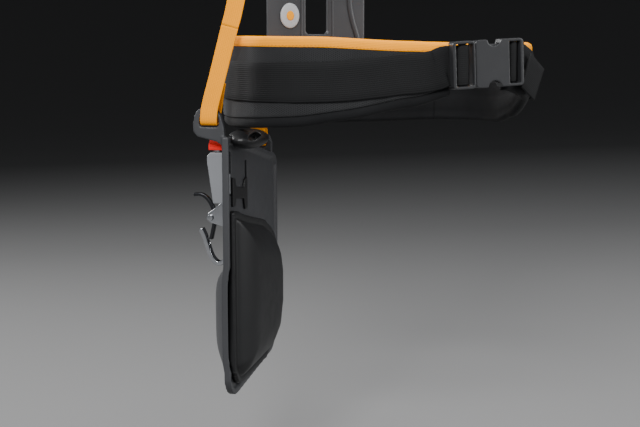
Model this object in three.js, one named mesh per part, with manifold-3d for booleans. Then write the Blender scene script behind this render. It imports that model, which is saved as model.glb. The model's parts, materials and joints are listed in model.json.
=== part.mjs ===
// Carrying harness for a brushcutter: a padded hip belt with a side-release buckle, a swinging
// hip plate with a thigh pad and a spring snap hook, and a height-adjustable back frame with
// shoulder pads. Millimetres, +Z up. The wearer faces -Y and the wearer's left is +X. The
// origin is in the middle of the waist, half way up the belt.

import * as THREE from 'three';
import { mergeVertices } from 'three/addons/utils/BufferGeometryUtils.js';
import Module from 'manifold-3d';

const wasm = await Module();
wasm.setup();

const DEG = Math.PI / 180;
const UP = new THREE.Vector3(0, 0, 1);

// Driving dimensions.
const GAP = 0.3;                       // between pieces that rest on each other
const WEBBING = { width: 40, thickness: 1.8 };
const LOAD_STRAP = { width: 18, thickness: 1.8 };
const CHEST_STRAP = { width: 25, thickness: 1.8 };
const BELT = {
  centreX: 27, rightHalf: 171, leftHalf: 156, halfDepth: 124, squareness: 2.9, turn: -10 * DEG,
  thickness: 13, rounding: 4, trimHeight: 10,
};
// Angles around the belt, in degrees: 90 is the spine, 180 the wearer's right, 270 the front.
const LUMBAR = { from: 62.5, to: 138 };
const RIGHT_WING = { from: 139, to: 279 };
const LEFT_WING = { from: 304, to: 421.5 };
const BUCKLE = {
  centre: [83, -136, 18.4], tilt: 3 * DEG, length: 79, height: 47.5, thickness: 12,
  bar: 3.6, socketSlot: 12.5, plugSlot: 19,
};
const CHEST_BUCKLE = {
  centre: [1, -86, 338], length: 60, height: 33, thickness: 10, bar: 3, socketSlot: 9.5, plugSlot: 13.5,
};
const PLATE = {
  position: [-150.8, -29.3, 0], turn: 57 * DEG,
  front: -17, rear: 177, inner: 3.5, thickness: 4, rim: 3, bulge: 23,
};
const CARRIER = { front: -5, rear: 61, top: -73, bottom: -126, inner: 8.9, outer: 27 };
const HOOK = { x: 28, width: 9, thickness: 4.6, pinY: 15, pinZ: -118, rivetY: 32.8, rivetZ: -145 };
const FRAME = { centreX: 1, halfWidth: 61, bottom: -50, top: 170, front: 136, thickness: 8 };
const UPPER = { halfWidth: 48, bottom: 62, top: 402, front: 144.6, thickness: 8 };
const SHOULDER = { width: 62, thickness: 12 };

// Heights round the belt: [angle, height] pairs, straight between them.
const PAD_TOP = [
  [60, 40], [125, 41], [155, 46], [200, 46], [250, 45], [268, 41.5], [279, 38],
  [304, 34], [318, 40], [332, 39.5], [346, 35.5], [362, 36], [422, 40],
];
const PAD_BOTTOM = [
  [60, -52], [100, -56], [140, -52], [200, -48], [240, -44], [262, -35], [272, -24], [279, -11],
  [304, -8], [318, -14], [330, -18], [345, -24], [355, -36], [364, -50], [375, -52], [422, -52],
];
const WEBBING_MIDDLE = [
  [60, -3], [139, -1], [165, 1], [235, 0], [252, 1], [262, 3.5], [270, 8], [275, 13], [279, 16],
  [304, 20.4], [318, 17], [332, 7], [350, -3], [422, -3],
];

const FINISHES = {
  foam_fabric: { color: 0x4a4b4d, roughness: 0.9, metalness: 0 },
  orange_webbing: { color: 0xf07b16, roughness: 0.75, metalness: 0 },
  black_webbing: { color: 0x1d1e20, roughness: 0.8, metalness: 0 },
  grey_plastic: { color: 0x5b5d60, roughness: 0.45, metalness: 0 },
  dark_plastic: { color: 0x2c2d2f, roughness: 0.4, metalness: 0 },
  light_plastic: { color: 0x8e9093, roughness: 0.45, metalness: 0 },
  thigh_foam: { color: 0x3c3d40, roughness: 0.7, metalness: 0 },
  chrome: { color: 0xc9ccd0, roughness: 0.18, metalness: 1 },
  steel: { color: 0x8a8d91, roughness: 0.35, metalness: 1 },
  red_webbing: { color: 0xc9202a, roughness: 0.75, metalness: 0 },
};

const object = new THREE.Group();

function addMesh(parent, name, geometry, finish) {
  const mesh = new THREE.Mesh(geometry, new THREE.MeshStandardMaterial(FINISHES[finish]));
  mesh.name = name;
  parent.add(mesh);
  return mesh;
}

// ---------------------------------------------------------------- geometry helpers

function vector(x, y, z) {
  return new THREE.Vector3(x, y, z);
}

// The value at a place in a list of [place, value] pairs, straight between them.
function between(pairs, place) {
  const next = pairs.findIndex(([end]) => end >= place);
  if (next <= 0) return next < 0 ? pairs[pairs.length - 1][1] : pairs[0][1];
  const [startPlace, startValue] = pairs[next - 1];
  const [endPlace, endValue] = pairs[next];
  return startValue + (endValue - startValue) * (place - startPlace) / (endPlace - startPlace);
}

function evenly(from, to, steps) {
  return Array.from({ length: steps + 1 }, (_, step) => from + (to - from) * step / steps);
}

function toSolid(geometry) {
  const bare = geometry.clone();
  bare.deleteAttribute('normal');
  bare.deleteAttribute('uv');
  const merged = mergeVertices(bare, 1e-4);
  const mesh = new wasm.Mesh({
    numProp: 3,
    vertProperties: new Float32Array(merged.attributes.position.array),
    triVerts: new Uint32Array(merged.index.array),
  });
  return new wasm.Manifold(mesh);
}

function toGeometry(solid) {
  const mesh = solid.getMesh();
  const geometry = new THREE.BufferGeometry();
  geometry.setAttribute('position', new THREE.Float32BufferAttribute(mesh.vertProperties, 3));
  geometry.setIndex(Array.from(mesh.triVerts));
  geometry.computeVertexNormals();
  return geometry;
}

function join(...geometries) {
  return toGeometry(geometries.map(toSolid).reduce((all, piece) => all.add(piece)));
}

function cut(geometry, ...tools) {
  return toGeometry(tools.map(toSolid).reduce((all, tool) => all.subtract(tool), toSolid(geometry)));
}

function box(low, high) {
  const size = high.map((value, axis) => value - low[axis]);
  const middle = high.map((value, axis) => (value + low[axis]) / 2);
  return new THREE.BoxGeometry(...size).translate(...middle);
}

function roundedOutline(low, high, radius, OutlineClass = THREE.Shape) {
  const outline = new OutlineClass();
  const corners = [
    [high[0] - radius, low[1] + radius, -90], [high[0] - radius, high[1] - radius, 0],
    [low[0] + radius, high[1] - radius, 90], [low[0] + radius, low[1] + radius, 180],
  ];
  for (const [x, y, start] of corners) {
    outline.absarc(x, y, radius, start * DEG, (start + 90) * DEG, false);
  }
  outline.closePath();
  return outline;
}

function polygon(points) {
  return new THREE.Shape(points.map(([x, y]) => new THREE.Vector2(x, y)));
}

function extrude(outline, depth, segments = 4) {
  return new THREE.ExtrudeGeometry(outline, { depth, bevelEnabled: false, curveSegments: segments });
}

// An outline in (y, z) made solid from one x to another.
function alongX(outline, from, to, segments) {
  const turn = new THREE.Matrix4().makeBasis(vector(0, 1, 0), vector(0, 0, 1), vector(1, 0, 0));
  return extrude(outline, to - from, segments).applyMatrix4(turn).translate(from, 0, 0);
}

// An outline in (x, z) made solid from one y to another.
function alongY(outline, from, to, segments) {
  const turn = new THREE.Matrix4().makeBasis(vector(1, 0, 0), vector(0, 0, 1), vector(0, -1, 0));
  return extrude(outline, to - from, segments).applyMatrix4(turn).translate(0, to, 0);
}

function cylinder(radius, from, to, segments = 20) {
  const start = vector(...from);
  const path = vector(...to).sub(start);
  const turn = new THREE.Quaternion().setFromUnitVectors(vector(0, 1, 0), path.clone().normalize());
  const middle = start.clone().addScaledVector(path, 0.5);
  const geometry = new THREE.CylinderGeometry(radius, radius, path.length(), segments);
  return geometry.applyQuaternion(turn).translate(middle.x, middle.y, middle.z);
}

function volume(positions, triangles) {
  const corner = triangles.map((index) => vector(...positions.slice(3 * index, 3 * index + 3)));
  let total = 0;
  for (let start = 0; start < corner.length; start += 3) {
    total += corner[start].dot(corner[start + 1].clone().cross(corner[start + 2])) / 6;
  }
  return total;
}

// A closed slab between two rows of points at each station: an outer row and an inner row.
function slab(stations) {
  const perRow = stations[0].outer.length;
  const around = 2 * perRow;
  const rings = stations.map(({ outer, inner }) => [...outer, ...inner.slice().reverse()]);
  const positions = rings.flat().flatMap((point) => point.toArray());
  const triangles = [];
  for (let station = 0; station < stations.length - 1; station += 1) {
    for (let side = 0; side < around; side += 1) {
      const here = station * around + side;
      const beside = station * around + (side + 1) % around;
      triangles.push(here, beside, beside + around, here, beside + around, here + around);
    }
  }
  const last = (stations.length - 1) * around;
  for (let side = 0; side < perRow - 1; side += 1) {
    const [a, b, c, d] = [side, side + 1, around - 2 - side, around - 1 - side];
    triangles.push(b, a, d, b, d, c);
    triangles.push(last + a, last + b, last + c, last + a, last + c, last + d);
  }
  if (volume(positions, triangles) < 0) triangles.reverse();
  const geometry = new THREE.BufferGeometry();
  geometry.setAttribute('position', new THREE.Float32BufferAttribute(positions, 3));
  geometry.setIndex(triangles);
  geometry.computeVertexNormals();
  return geometry;
}

// A flat strap through a list of points, its width lying along "across" as nearly as it can.
function ribbon(points, across, width, thickness) {
  const stations = points.map((point, index) => {
    const before = points[Math.max(index - 1, 0)];
    const after = points[Math.min(index + 1, points.length - 1)];
    const tangent = after.clone().sub(before).normalize();
    const wanted = typeof across === 'function' ? across(index / (points.length - 1)) : across;
    const side = wanted.clone().addScaledVector(tangent, -wanted.dot(tangent)).normalize();
    const face = tangent.clone().cross(side).normalize();
    const row = (height) => [-0.5, 0.5].map((share) => (
      point.clone().addScaledVector(side, share * width).addScaledVector(face, height)));
    return { outer: row(thickness / 2), inner: row(-thickness / 2) };
  });
  return slab(stations);
}

function smooth(points, steps) {
  const curve = new THREE.CatmullRomCurve3(points.map((point) => vector(...point)), false, 'centripetal');
  return curve.getSpacedPoints(steps);
}

// ---------------------------------------------------------------- padded belt

// A point of the belt loop, pushed outward from the pads' outer face by an offset.
function beltPoint(angle, offset, height) {
  const cosine = Math.cos(angle * DEG);
  const sine = Math.sin(angle * DEG);
  const power = 2 / BELT.squareness;
  const halfWidth = cosine < 0 ? BELT.rightHalf : BELT.leftHalf;
  const x = halfWidth * Math.sign(cosine) * Math.abs(cosine) ** power;
  const y = BELT.halfDepth * Math.sign(sine) * Math.abs(sine) ** power;
  const slopeX = Math.sign(x) * Math.abs(x / halfWidth) ** (BELT.squareness - 1) / halfWidth;
  const slopeY = Math.sign(y) * Math.abs(y / BELT.halfDepth) ** (BELT.squareness - 1) / BELT.halfDepth;
  const outward = vector(slopeX, slopeY, 0).normalize();
  return vector(x, y, height).addScaledVector(outward, offset)
    .applyAxisAngle(UP, BELT.turn).add(vector(BELT.centreX, 0, 0));
}

function aroundBelt({ from, to }, section) {
  const steps = Math.round((to - from) / 6);
  return slab(evenly(from, to, steps).map((angle) => {
    const { outer, inner } = section(angle);
    const place = ([offset, height]) => beltPoint(angle, offset, height);
    return { outer: outer.map(place), inner: inner.map(place) };
  }));
}

function padSection(angle) {
  const top = between(PAD_TOP, angle) - BELT.trimHeight - GAP;
  const bottom = between(PAD_BOTTOM, angle);
  const { thickness, rounding } = BELT;
  const heights = [bottom, bottom + rounding, (bottom + top) / 2, top];
  const outer = [-rounding, 0, 0, 0].map((offset, index) => [offset, heights[index]]);
  const inner = [rounding - thickness, -thickness, -thickness, -thickness]
    .map((offset, index) => [offset, heights[index]]);
  return { outer, inner };
}

function trimSection(angle) {
  const top = between(PAD_TOP, angle);
  const { thickness, trimHeight } = BELT;
  const heights = [top - trimHeight, top - 2.5, top];
  return {
    outer: [0.6, 0.6, -2.4].map((offset, index) => [offset, heights[index]]),
    inner: [-thickness - 0.6, -thickness - 0.6, 2.4 - thickness].map((offset, index) => [offset, heights[index]]),
  };
}

function beltWebbing(from, to, steps) {
  const offset = 1 + WEBBING.thickness / 2;
  return evenly(from, to, steps).map((angle) => beltPoint(angle, offset, between(WEBBING_MIDDLE, angle)));
}

function addBelt() {
  const parts = { lumbar: LUMBAR, right_wing: RIGHT_WING, left_wing: LEFT_WING };
  for (const [name, range] of Object.entries(parts)) {
    addMesh(object, `${name}_pad`, aroundBelt(range, padSection), 'foam_fabric');
    addMesh(object, `${name}_binding`, aroundBelt(range, trimSection), 'orange_webbing');
  }
  const { width, thickness } = WEBBING;
  const [buckleX, buckleY] = BUCKLE.centre;
  const end = BUCKLE.length / 2;
  const right = [
    ...beltWebbing(112, 275, 26),
    vector(buckleX - end - 4, buckleY + 5, 16.2), vector(buckleX - end + 2, buckleY + 4.8, 16.4),
    vector(buckleX - end + 6, buckleY + 3.6, 16.6),
  ];
  const left = [
    vector(buckleX + end - 6, buckleY + 3.6, 20.2), vector(buckleX + end - 2, buckleY + 4.8, 20.4),
    vector(buckleX + end + 3, buckleY + 5.2, 20.2), beltPoint(314.5, 3.7, 18.8), ...beltWebbing(320, 421, 25),
  ];
  addMesh(object, 'belt_webbing_right', ribbon(right, UP, width, thickness), 'black_webbing');
  addMesh(object, 'belt_webbing_lumbar', ribbon(beltWebbing(63, 111, 8), UP, width, thickness), 'black_webbing');
  addMesh(object, 'belt_webbing_left', ribbon(left, UP, width, thickness), 'black_webbing');
  const tail = [[315.5, 7.2, 11], [318.5, 7.6, 8], [321.5, 8.3, 4], [325, 9.5, 0], [328.5, 11.2, -4.5]]
    .map((place) => beltPoint(...place));
  addMesh(object, 'webbing_tail', ribbon(tail, UP, 38, thickness), 'black_webbing');
}

// ---------------------------------------------------------------- side-release buckles

// Both halves of a buckle, in a frame with +x from the socket half to the pronged half and +y toward
// the wearer. The webbing passes behind each outer bar and turns round the crossbar in the slot.
function buckleHalves({ length, height, thickness, bar, socketSlot, plugSlot }) {
  const end = length / 2;
  const halfHeight = height / 2;
  const mouth = 0.36 * end;
  const slotHeight = halfHeight - 2.8;
  const cavity = { start: bar + socketSlot + 3 - end, height: halfHeight - 4, thickness: thickness / 2 - 2.6 };
  const slotBetween = (from, to) => box([from, -thickness, -slotHeight], [to, thickness, slotHeight]);
  const relief = (from, to) => box([from, 2.5, -slotHeight], [to, thickness, slotHeight]);
  const crossbar = (x, width) => box([x - width / 2, -1.5, -slotHeight - 1], [x + width / 2, 1.5, slotHeight + 1]);

  const shell = alongY(roundedOutline([-end, -halfHeight], [mouth, halfHeight], 4), -thickness / 2, thickness / 2);
  const hollow = box([cavity.start, -cavity.thickness, -cavity.height],
    [mouth + 1, cavity.thickness, cavity.height]);
  const scallops = [-1, 1].map((side) => {
    const [x, z] = [-0.17 * end, side * (halfHeight + 0.03 * end)];
    return cylinder(0.2 * end, [x, -thickness, z], [x, thickness, z], 24);
  });
  const openShell = cut(shell, slotBetween(bar - end, bar + socketSlot - end), relief(-end - 1, bar - end + 0.1),
    hollow, ...scallops);
  const socket = join(openShell, crossbar(bar + socketSlot / 2 - end, 0.3 * socketSlot));

  const prongTop = cavity.height - 0.5;
  const depth = cavity.thickness - 0.4;
  const base = alongY(roundedOutline([mouth + 0.5, -halfHeight], [end, halfHeight], 4), -thickness / 2, thickness / 2);
  const openBase = cut(base, slotBetween(end - bar - plugSlot, end - bar), relief(end - bar - 0.1, end + 1));
  const prong = (side) => alongY(polygon([
    [mouth + 1, side * (prongTop - 4.2)], [mouth + 1, side * prongTop], [-0.33 * end, side * prongTop],
    [-0.45 * end, side * (prongTop - 3)], [-0.4 * end, side * (prongTop - 6)], [-0.2 * end, side * (prongTop - 5.2)],
  ]), -depth, depth);
  const guide = box([-0.3 * end, -depth, -2.4], [mouth + 1, depth, 2.4]);
  const plug = join(openBase, crossbar(end - bar - plugSlot / 2, 0.4 * plugSlot), prong(-1), prong(1), guide);
  return { socket, plug };
}

// The socket half is on the wearer's left, so the buckle is turned half round.
function addWaistBuckle() {
  const group = new THREE.Group();
  group.position.set(...BUCKLE.centre);
  group.rotation.y = Math.PI - BUCKLE.tilt;
  const { socket, plug } = buckleHalves(BUCKLE);
  addMesh(group, 'buckle_female', socket, 'dark_plastic');
  addMesh(group, 'buckle_male', plug, 'dark_plastic');
  object.add(group);
}

// ---------------------------------------------------------------- hip plate
// In the plate's own frame +x runs from the wearer's front to the rear, +y points outward.

function plateTop(x) {
  return between([[-17, -56], [20, -58], [150, -86], [170, -92], [177, -102]], x);
}

function plateBottom(x) {
  return between([[-17, -306], [-10, -326], [4, -332], [141, -321], [165, -306], [177, -190]], x);
}

// The plate's inner face: flat above, bulging outward below, steep at the bulge's two ends.
function plateFace(x, z) {
  const lengthwise = Math.min(Math.abs((x - 62) / 80), 1);
  const upright = Math.min(Math.abs((z + 248) / 56), 1);
  return PLATE.inner + PLATE.bulge * (1 - lengthwise ** 3) * (1 - upright ** 5);
}

function plateInner(x, z) {
  const toEdge = Math.min(x - PLATE.front, PLATE.rear - x, plateTop(x) - z, z - plateBottom(x));
  return plateFace(x, z) - PLATE.rim * THREE.MathUtils.clamp(1 - toEdge / 7, 0, 1);
}

function plateShell() {
  const columns = [-17, -12, -6, 4, 16, 30, 46, 62, 78, 94, 110, 126, 141, 155, 165, 172, 177];
  const shares = [0, 0.02, 0.05, 0.13, 0.22, 0.31, 0.4, 0.49, 0.56, 0.62, 0.7, 0.8, 0.9, 0.96, 0.985, 1];
  return slab(columns.map((x) => {
    const heights = shares.map((share) => THREE.MathUtils.lerp(plateBottom(x), plateTop(x), share));
    return {
      outer: heights.map((z) => vector(x, plateFace(x, z) + PLATE.thickness, z)),
      inner: heights.map((z) => vector(x, plateInner(x, z), z)),
    };
  }));
}

// The ring at the plate's front corner that the front load strap is looped through.
function frontEar() {
  const ring = polygon([
    [4, -74], [4, -54], [5, -46], [8.5, -34], [14, -28], [31, -27], [36, -33], [39, -46], [36.5, -55], [13, -61], [7, -74],
  ]);
  ring.holes.push(roundedOutline([11, -46], [31.5, -35.5], 2, THREE.Path));
  return alongX(ring, -14, -8);
}

function rearEar() {
  const ring = polygon([[4, -112], [4, -76], [8, -66], [34, -66], [37, -72], [34, -86], [12, -92], [7, -112]]);
  ring.holes.push(roundedOutline([11, -81], [31, -73], 2, THREE.Path));
  return alongX(ring, 166, 172);
}

function addHipPlate(group) {
  const slots = [
    alongY(roundedOutline([-4, -118], [3, -72], 2.4), -20, 20),
    alongY(roundedOutline([54, -138], [61, -86], 2.4), -20, 20),
  ];
  addMesh(group, 'hip_plate', cut(join(plateShell(), frontEar(), rearEar()), ...slots), 'grey_plastic');
  const cover = new THREE.SphereGeometry(1, 24, 14).scale(36, 21, 10.5).translate(28, -7.5, -60.5);
  const plateRoom = box([-30, PLATE.inner - PLATE.rim - GAP, -90], [90, 40, -56]);
  const carrierRoom = box([-30, CARRIER.inner - 0.9, -90], [90, 40, -40]);
  const bore = cylinder(4, [-20, -20.5, -56.5], [20, -20.5, -56.5], 16);
  addMesh(group, 'pivot_cover', cut(cover, plateRoom, carrierRoom, bore), 'dark_plastic');
}

// The thigh pad bulges inward; its flat back rests on the plate's rim.
function addThighPad(group) {
  const top = (x) => between([[-9, -134], [0, -132], [44, -144], [107, -158], [140, -172], [160, -192], [168, -222]], x);
  const bottom = (x) => between([[-9, -306], [0, -320], [16, -323], [115, -320], [150, -306], [168, -262]], x);
  const columns = [-9, -4, 4, 18, 34, 52, 70, 88, 106, 124, 140, 152, 162, 168];
  const shares = [0, 0.04, 0.12, 0.24, 0.38, 0.52, 0.66, 0.78, 0.88, 0.95, 1];
  const back = PLATE.inner - PLATE.rim - GAP;
  const swell = (x, share) => {
    const lengthwise = Math.abs((x - 79.5) / 88.5);
    const upright = Math.abs(2 * share - 1);
    return 4 + 14.5 * (1 - lengthwise ** 4) ** 0.6 * (1 - upright ** 5) ** 0.6;
  };
  addMesh(group, 'thigh_pad', slab(columns.map((x) => {
    const heights = shares.map((share) => THREE.MathUtils.lerp(bottom(x), top(x), share));
    return {
      outer: heights.map((z) => vector(x, back, z)),
      inner: heights.map((z, index) => vector(x, back - swell(x, shares[index]), z)),
    };
  })), 'thigh_foam');
}

// ---------------------------------------------------------------- hook carrier and snap hook

function addCarrier(group) {
  const { front, rear, top, bottom, inner, outer } = CARRIER;
  const profile = polygon([
    [inner, top], [outer - 3, top], [outer, top - 4], [outer, top - 10], [outer - 6, bottom], [inner, bottom],
  ]);
  const housing = alongX(profile, front, rear);
  const pocket = box([HOOK.x - 7.5, inner - 1, bottom - 1], [HOOK.x + 7.5, 40, HOOK.pinZ + 10]);
  const swivelBore = cylinder(3.2, [front + 2, HOOK.pinY, HOOK.pinZ], [rear - 2, HOOK.pinY, HOOK.pinZ]);
  const pinBore = cylinder(3.4, [4, 17, -104], [4, 17, top + 1]);
  const tongues = [
    box([-3, PLATE.inner, -116.5], [1, inner + 1, -95]),
    box([55, PLATE.inner, -136.5], [59, PLATE.inner + 1, -110]),
    box([55, PLATE.inner, -126], [59, inner + 1, -110]),
  ];
  const carrier = cut(join(housing, ...tongues), pocket, swivelBore, pinBore);
  addMesh(group, 'hook_carrier', carrier, 'light_plastic');

  const clip = polygon([
    [2, -130], [10, -130], [14, -122], [42, -126], [46, -138], [54, -138], [54, -104],
    [46, -106], [42, -114], [14, -110], [10, -101], [2, -99],
  ]);
  const clipBack = PLATE.inner - GAP;
  addMesh(group, 'carrier_clip', alongY(clip, clipBack - 2.2, clipBack), 'dark_plastic');
  addMesh(group, 'swivel_pin',
    cylinder(2.9, [front + 2.4, HOOK.pinY, HOOK.pinZ], [rear - 2.4, HOOK.pinY, HOOK.pinZ]), 'steel');
}

function addRelease(group) {
  const top = CARRIER.top;
  const shank = cylinder(3, [4, 17, -94], [4, 17, top + 1], 16);
  const head = cylinder(5, [4, 17, top + 0.4], [4, 17, top + 3], 16);
  addMesh(group, 'release_pin', join(shank, head), 'steel');
  const loop = smooth([[-2.6, 17, -70.5], [-3, 17, -66], [4, 17, -60.5], [11, 17, -66], [10.6, 17, -70.5]], 12);
  addMesh(group, 'release_strap', ribbon(loop, vector(0, 1, 0), 17, 1.8), 'red_webbing');
}

function addHook(group) {
  const { x, width, thickness, pinY, pinZ, rivetY, rivetZ } = HOOK;
  const sweep = smooth([
    [x, pinY, pinZ - 5], [x, 15, -140], [x, 14, -160], [x, 14, -178], [x, 18, -191], [x, 26, -195],
    [x, 33, -189], [x, 38, -176], [x, 41.5, -165], [x, 45, -158],
  ], 34);
  const spine = ribbon(sweep, vector(1, 0, 0), width, thickness);
  const eye = cylinder(6, [x - width / 2, pinY, pinZ], [x + width / 2, pinY, pinZ], 24);
  const lug = alongX(polygon([
    [14, -128], [22, -130], [rivetY + 3, rivetZ + 4], [rivetY + 4.4, rivetZ - 2], [rivetY, rivetZ - 5.5], [14, -156],
  ]), x - 6.5, x + 6.5);
  const gateSlot = box([x - 3.6, 21, -175], [x + 3.6, 39.5, -110]);
  const pinBore = cylinder(3.2, [x - 20, pinY, pinZ], [x + 20, pinY, pinZ]);
  const rivetBore = cylinder(2.3, [x - 20, rivetY, rivetZ], [x + 20, rivetY, rivetZ], 16);
  const body = cut(join(spine, eye, lug), pinBore, rivetBore, gateSlot);
  addMesh(group, 'hook_body', body, 'chrome');

  const lever = smooth([
    [x, 52.5, -121.5], [x, 45, -121], [x, 39, -124], [x, 33.5, -131], [x, 30.5, -140], [x, 30, -150],
    [x, 32, -160], [x, 34, -169],
  ], 20);
  const boss = cylinder(4.2, [x - 3.1, rivetY, rivetZ], [x + 3.1, rivetY, rivetZ], 20);
  const rivetHole = cylinder(2.3, [x - 20, rivetY, rivetZ], [x + 20, rivetY, rivetZ], 16);
  const gate = cut(join(ribbon(lever, vector(1, 0, 0), 6.2, 3.4), boss), rivetHole);
  addMesh(group, 'hook_gate', gate, 'dark_plastic');
  const shank = cylinder(2, [x - 8.2, rivetY, rivetZ], [x + 8.2, rivetY, rivetZ], 16);
  const heads = [-1, 1].map((side) => (
    cylinder(3.4, [x + side * 7, rivetY, rivetZ], [x + side * 8.6, rivetY, rivetZ], 16)));
  addMesh(group, 'gate_rivet', join(shank, ...heads), 'chrome');
}

function addHipPlateGroup() {
  const group = new THREE.Group();
  group.position.set(...PLATE.position);
  group.rotation.z = PLATE.turn;
  addHipPlate(group);
  addThighPad(group);
  addCarrier(group);
  addRelease(group);
  addHook(group);
  object.add(group);
}

// ---------------------------------------------------------------- back frame

function addLumbarFrame() {
  const { centreX, halfWidth, bottom, top, front, thickness } = FRAME;
  const back = front + thickness;
  const outline = roundedOutline([centreX - halfWidth, bottom], [centreX + halfWidth, top], 16);
  outline.holes.push(roundedOutline([centreX - 14, 49], [centreX + 14, 150], 5, THREE.Path));
  outline.holes.push(roundedOutline([centreX - 30, -34], [centreX + 30, 6], 8, THREE.Path));
  const tabs = [[-1, 2], [1, 118]].map(([side, low]) => {
    const near = centreX + side * (halfWidth - 4);
    const far = centreX + side * (halfWidth + 26);
    const tab = roundedOutline([Math.min(near, far), low], [Math.max(near, far), low + 32], 5);
    const slotMiddle = centreX + side * (halfWidth + 12);
    tab.holes.push(roundedOutline([slotMiddle - 10, low + 11], [slotMiddle + 10, low + 19], 2, THREE.Path));
    return alongY(tab, front + 1, back - 1);
  });
  const screws = [[-48, 30], [48, 30], [-48, -38], [48, -38]].map(([x, z]) => [centreX + x, z]);
  const bores = screws.map(([x, z]) => cylinder(2.4, [x, front - 1, z], [x, back + 1, z], 12));
  const frame = cut(join(alongY(outline, front, back, 6), ...tabs), ...bores);
  addMesh(object, 'lumbar_frame', frame, 'grey_plastic');
  screws.forEach(([x, z], index) => {
    const shank = cylinder(2, [x, front + 1, z], [x, back + 1, z], 12);
    const head = cylinder(4.6, [x, back + GAP, z], [x, back + 2.8, z], 16);
    addMesh(object, `frame_screw_${index + 1}`, join(shank, head), 'steel');
  });
  const badge = new THREE.Shape().absellipse(-33.5, 70.5, 12, 15, 0, 2 * Math.PI);
  addMesh(object, 'frame_badge', alongY(badge, front - 2.6, front - GAP, 24), 'light_plastic');
}

function addUpperFrame() {
  const { halfWidth, bottom, top, front, thickness } = UPPER;
  const back = front + thickness;
  const middle = FRAME.centreX;
  const rail = 18;
  const outline = polygon([
    [-halfWidth, bottom + 8], [8 - halfWidth, bottom], [-rail, bottom], [-rail, 196], [rail, 196], [rail, bottom],
    [halfWidth - 8, bottom], [halfWidth, bottom + 8], [halfWidth, 310], [78, 340], [84, 372], [66, top],
    [26, top - 8], [-26, top - 8], [-66, top], [-84, 372], [-78, 340], [-halfWidth, 310],
  ]);
  outline.holes.push(roundedOutline([-24, 236], [24, 318], 10, THREE.Path));
  outline.holes.push(roundedOutline([-30, 342], [30, 376], 8, THREE.Path));
  const buttonBore = cylinder(8.4, [0, front - 1, 216], [0, back + 1, 216], 24);
  const frame = cut(alongY(outline, front, back), buttonBore).translate(middle, 0, 0);
  addMesh(object, 'upper_frame', frame, 'grey_plastic');

  const stem = cylinder(7.9, [0, front + 3, 216], [0, back + 5, 216], 24);
  addMesh(object, 'height_button', stem.translate(middle, 0, 0), 'orange_webbing');
}

function addBackPad() {
  const middle = FRAME.centreX;
  const [low, high] = [180, 328];
  const shares = [0, 0.05, 0.2, 0.5, 0.8, 0.95, 1];
  const columns = [-64, -60, -40, 0, 40, 60, 64];
  addMesh(object, 'back_pad', slab(columns.map((x, column) => ({
    outer: shares.map((share) => vector(middle + x, UPPER.front - GAP, THREE.MathUtils.lerp(low, high, share))),
    inner: shares.map((share, row) => {
      const rounding = [14, 5, 0, 0, 0, 5, 14];
      return vector(middle + x, 120 + Math.min(rounding[row] + rounding[column], 16),
        THREE.MathUtils.lerp(low, high, share));
    }),
  }))), 'foam_fabric');
}

// ---------------------------------------------------------------- shoulder pads and chest strap

function shoulderPath(side) {
  const middle = FRAME.centreX;
  return [
    [middle + side * 46, 134.5, 336], [middle + side * 50, 130, 372], [middle + side * 62, 108, 418],
    [middle + side * 80, 60, 447], [middle + side * 96, 4, 450], [middle + side * 112, -46, 418],
    [middle + side * 123, -68, 350], [middle + side * 127, -67, 280], [middle + side * 127, -62, 238],
  ];
}

function addShoulderPad(side, name) {
  const path = smooth(shoulderPath(side), 26);
  const across = (share) => vector(1, side * -0.12 * share, 0).normalize();
  addMesh(object, `shoulder_pad_${name}`, ribbon(path, across, SHOULDER.width, SHOULDER.thickness), 'foam_fabric');
}

// The ladder lock under a shoulder pad, which the strap from below runs through.
function addLadderLock(name, x, y, width) {
  const halfWidth = width / 2 + 4;
  const outline = roundedOutline([x - halfWidth, 196], [x + halfWidth, 226], 3);
  const halfSlot = width / 2 + 0.8;
  outline.holes.push(roundedOutline([x - halfSlot, 216], [x + halfSlot, 221.5], 1.5, THREE.Path));
  outline.holes.push(roundedOutline([x - halfSlot, 201], [x + halfSlot, 210], 1.5, THREE.Path));
  addMesh(object, `ladder_lock_${name}`, alongY(outline, y - 2.5, y + 2.5), 'dark_plastic');
  const tongue = [vector(x, y - 4.4, 219), vector(x, y - 4.2, 228), vector(x, y - 1, 235.5)];
  addMesh(object, `lock_webbing_${name}`, ribbon(tongue, vector(1, 0, 0), width, 1.8), 'black_webbing');
}

function addChestStrap() {
  const group = new THREE.Group();
  group.position.set(...CHEST_BUCKLE.centre);
  const { socket, plug } = buckleHalves(CHEST_BUCKLE);
  addMesh(group, 'chest_buckle_female', socket, 'dark_plastic');
  addMesh(group, 'chest_buckle_male', plug, 'dark_plastic');
  const { width, thickness } = CHEST_STRAP;
  const webbing = (side) => smooth([
    [side * 24.8, 3.7, 0], [side * 28.5, 4.5, 0], [side * 34, 4.7, 0], [side * 90, 6.5, 0], [side * 132, 6.5, 0]], 14);
  addMesh(group, 'chest_strap_right', ribbon(webbing(-1), UP, width - 2, thickness), 'black_webbing');
  addMesh(group, 'chest_strap_left', ribbon(webbing(1), UP, width - 2, thickness), 'black_webbing');
  object.add(group);
}

// ---------------------------------------------------------------- load straps

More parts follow.
